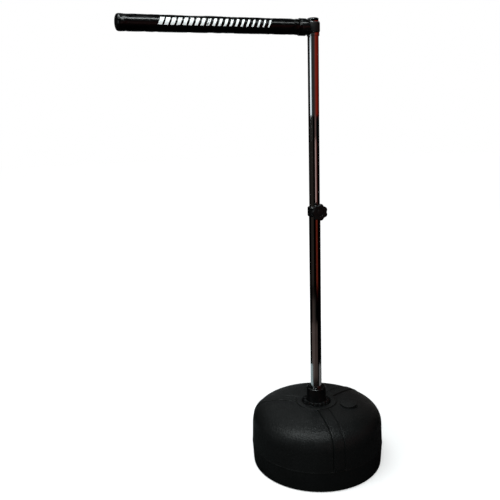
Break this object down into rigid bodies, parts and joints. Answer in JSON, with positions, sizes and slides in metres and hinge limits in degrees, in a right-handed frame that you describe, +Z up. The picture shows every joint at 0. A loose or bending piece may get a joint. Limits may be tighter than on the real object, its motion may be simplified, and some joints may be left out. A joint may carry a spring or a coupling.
{
  "type": "spinning bar boxing trainer",
  "caption": "Free-standing boxing trainer: a padded bar spins on top of a telescopic chrome mast in a domed, fillable base tank.",
  "frame": {"origin": "on the floor, at the centre of the tank's flat underside, on the mast's axis", "axes": "+Z up along the mast; -X along the spinning bar at rest; +Y to the back"},
  "size_m": [0.85, 0.4612, 1.5025],
  "materials": {
    "tank_plastic": "satin",
    "gloss_black_plastic": "gloss",
    "matt_black_plastic": "matte",
    "chrome_tube": "polished",
    "plated_steel": "satin",
    "brass": "satin",
    "rubber": "matte",
    "nylon": "satin",
    "foam": "matte",
    "black_vinyl": "gloss"
  },
  "bodies": {
    "base": {"base_tank": "tank_plastic", "socket_gasket": "rubber", "pole_socket": "gloss_black_plastic", "lock_ring": "gloss_black_plastic", "socket_screw": "plated_steel", "lower_tube": "chrome_tube", "lower_tube_plug": "nylon", "clamp_collar": "gloss_black_plastic", "clamp_collar_rivet": "plated_steel", "clamp_insert": "brass"},
    "cap_seal": {"fill_cap_seal": "rubber"},
    "cap": {"fill_cap": "tank_plastic"},
    "pad": {"clamp_pad": "nylon"},
    "knob": {"clamp_knob": "matt_black_plastic", "clamp_knob_cap": "matt_black_plastic", "clamp_stud": "plated_steel"},
    "mast_foot": {"upper_tube_foot": "nylon"},
    "mast": {"upper_tube": "chrome_tube", "tube_end_plug": "matt_black_plastic", "stop_collar": "chrome_tube", "stop_collar_screw": "plated_steel", "retaining_ring": "plated_steel"},
    "bar": {"swivel_sleeve": "matt_black_plastic", "lower_bush": "nylon", "upper_bush": "nylon", "bar_end_cup": "gloss_black_plastic", "bar_core_tube": "plated_steel", "bar_core_plug": "nylon", "bar_foam": "foam", "bar_cover": "black_vinyl", "bar_screw": "plated_steel"}
  },
  "joints": [
    {"name": "height_slide", "type": "slide", "parent": "base", "child": "mast_foot", "axis": [0, 0, 1], "range_m": [-0.4, 0.15]},
    {"name": "mast_turn", "type": "hinge", "parent": "mast_foot", "child": "mast", "pos_m": [0, 0, 0.607], "axis": [0, 0, 1], "range_deg": [-180, 180]},
    {"name": "bar_spin", "type": "hinge", "parent": "mast", "child": "bar", "pos_m": [0, 0, 1.473], "axis": [0, 0, 1], "continuous": true},
    {"name": "clamp_pad_travel", "type": "slide", "parent": "base", "child": "pad", "axis": [-0.1444, -0.9895, 0], "range_m": [0, 0.0038]},
    {"name": "clamp_knob_turn", "type": "hinge", "parent": "pad", "child": "knob", "pos_m": [-0.00577, -0.03958, 0.8975], "axis": [-0.1444, -0.9895, 0], "range_deg": [0, 1080]},
    {"name": "fill_cap_lift", "type": "slide", "parent": "base", "child": "cap_seal", "axis": [0, 0, 1], "range_m": [0, 0.0152]},
    {"name": "fill_cap_turn", "type": "hinge", "parent": "cap_seal", "child": "cap", "pos_m": [0.08418, -0.07687, 0.215], "axis": [0, 0, 1], "range_deg": [0, 1080]}
  ],
  "couplings": [
    {"joint": "clamp_pad_travel", "follows": "clamp_knob_turn", "m_per_rad": 0.00019894},
    {"joint": "fill_cap_lift", "follows": "fill_cap_turn", "m_per_rad": 0.00079577}
  ]
}
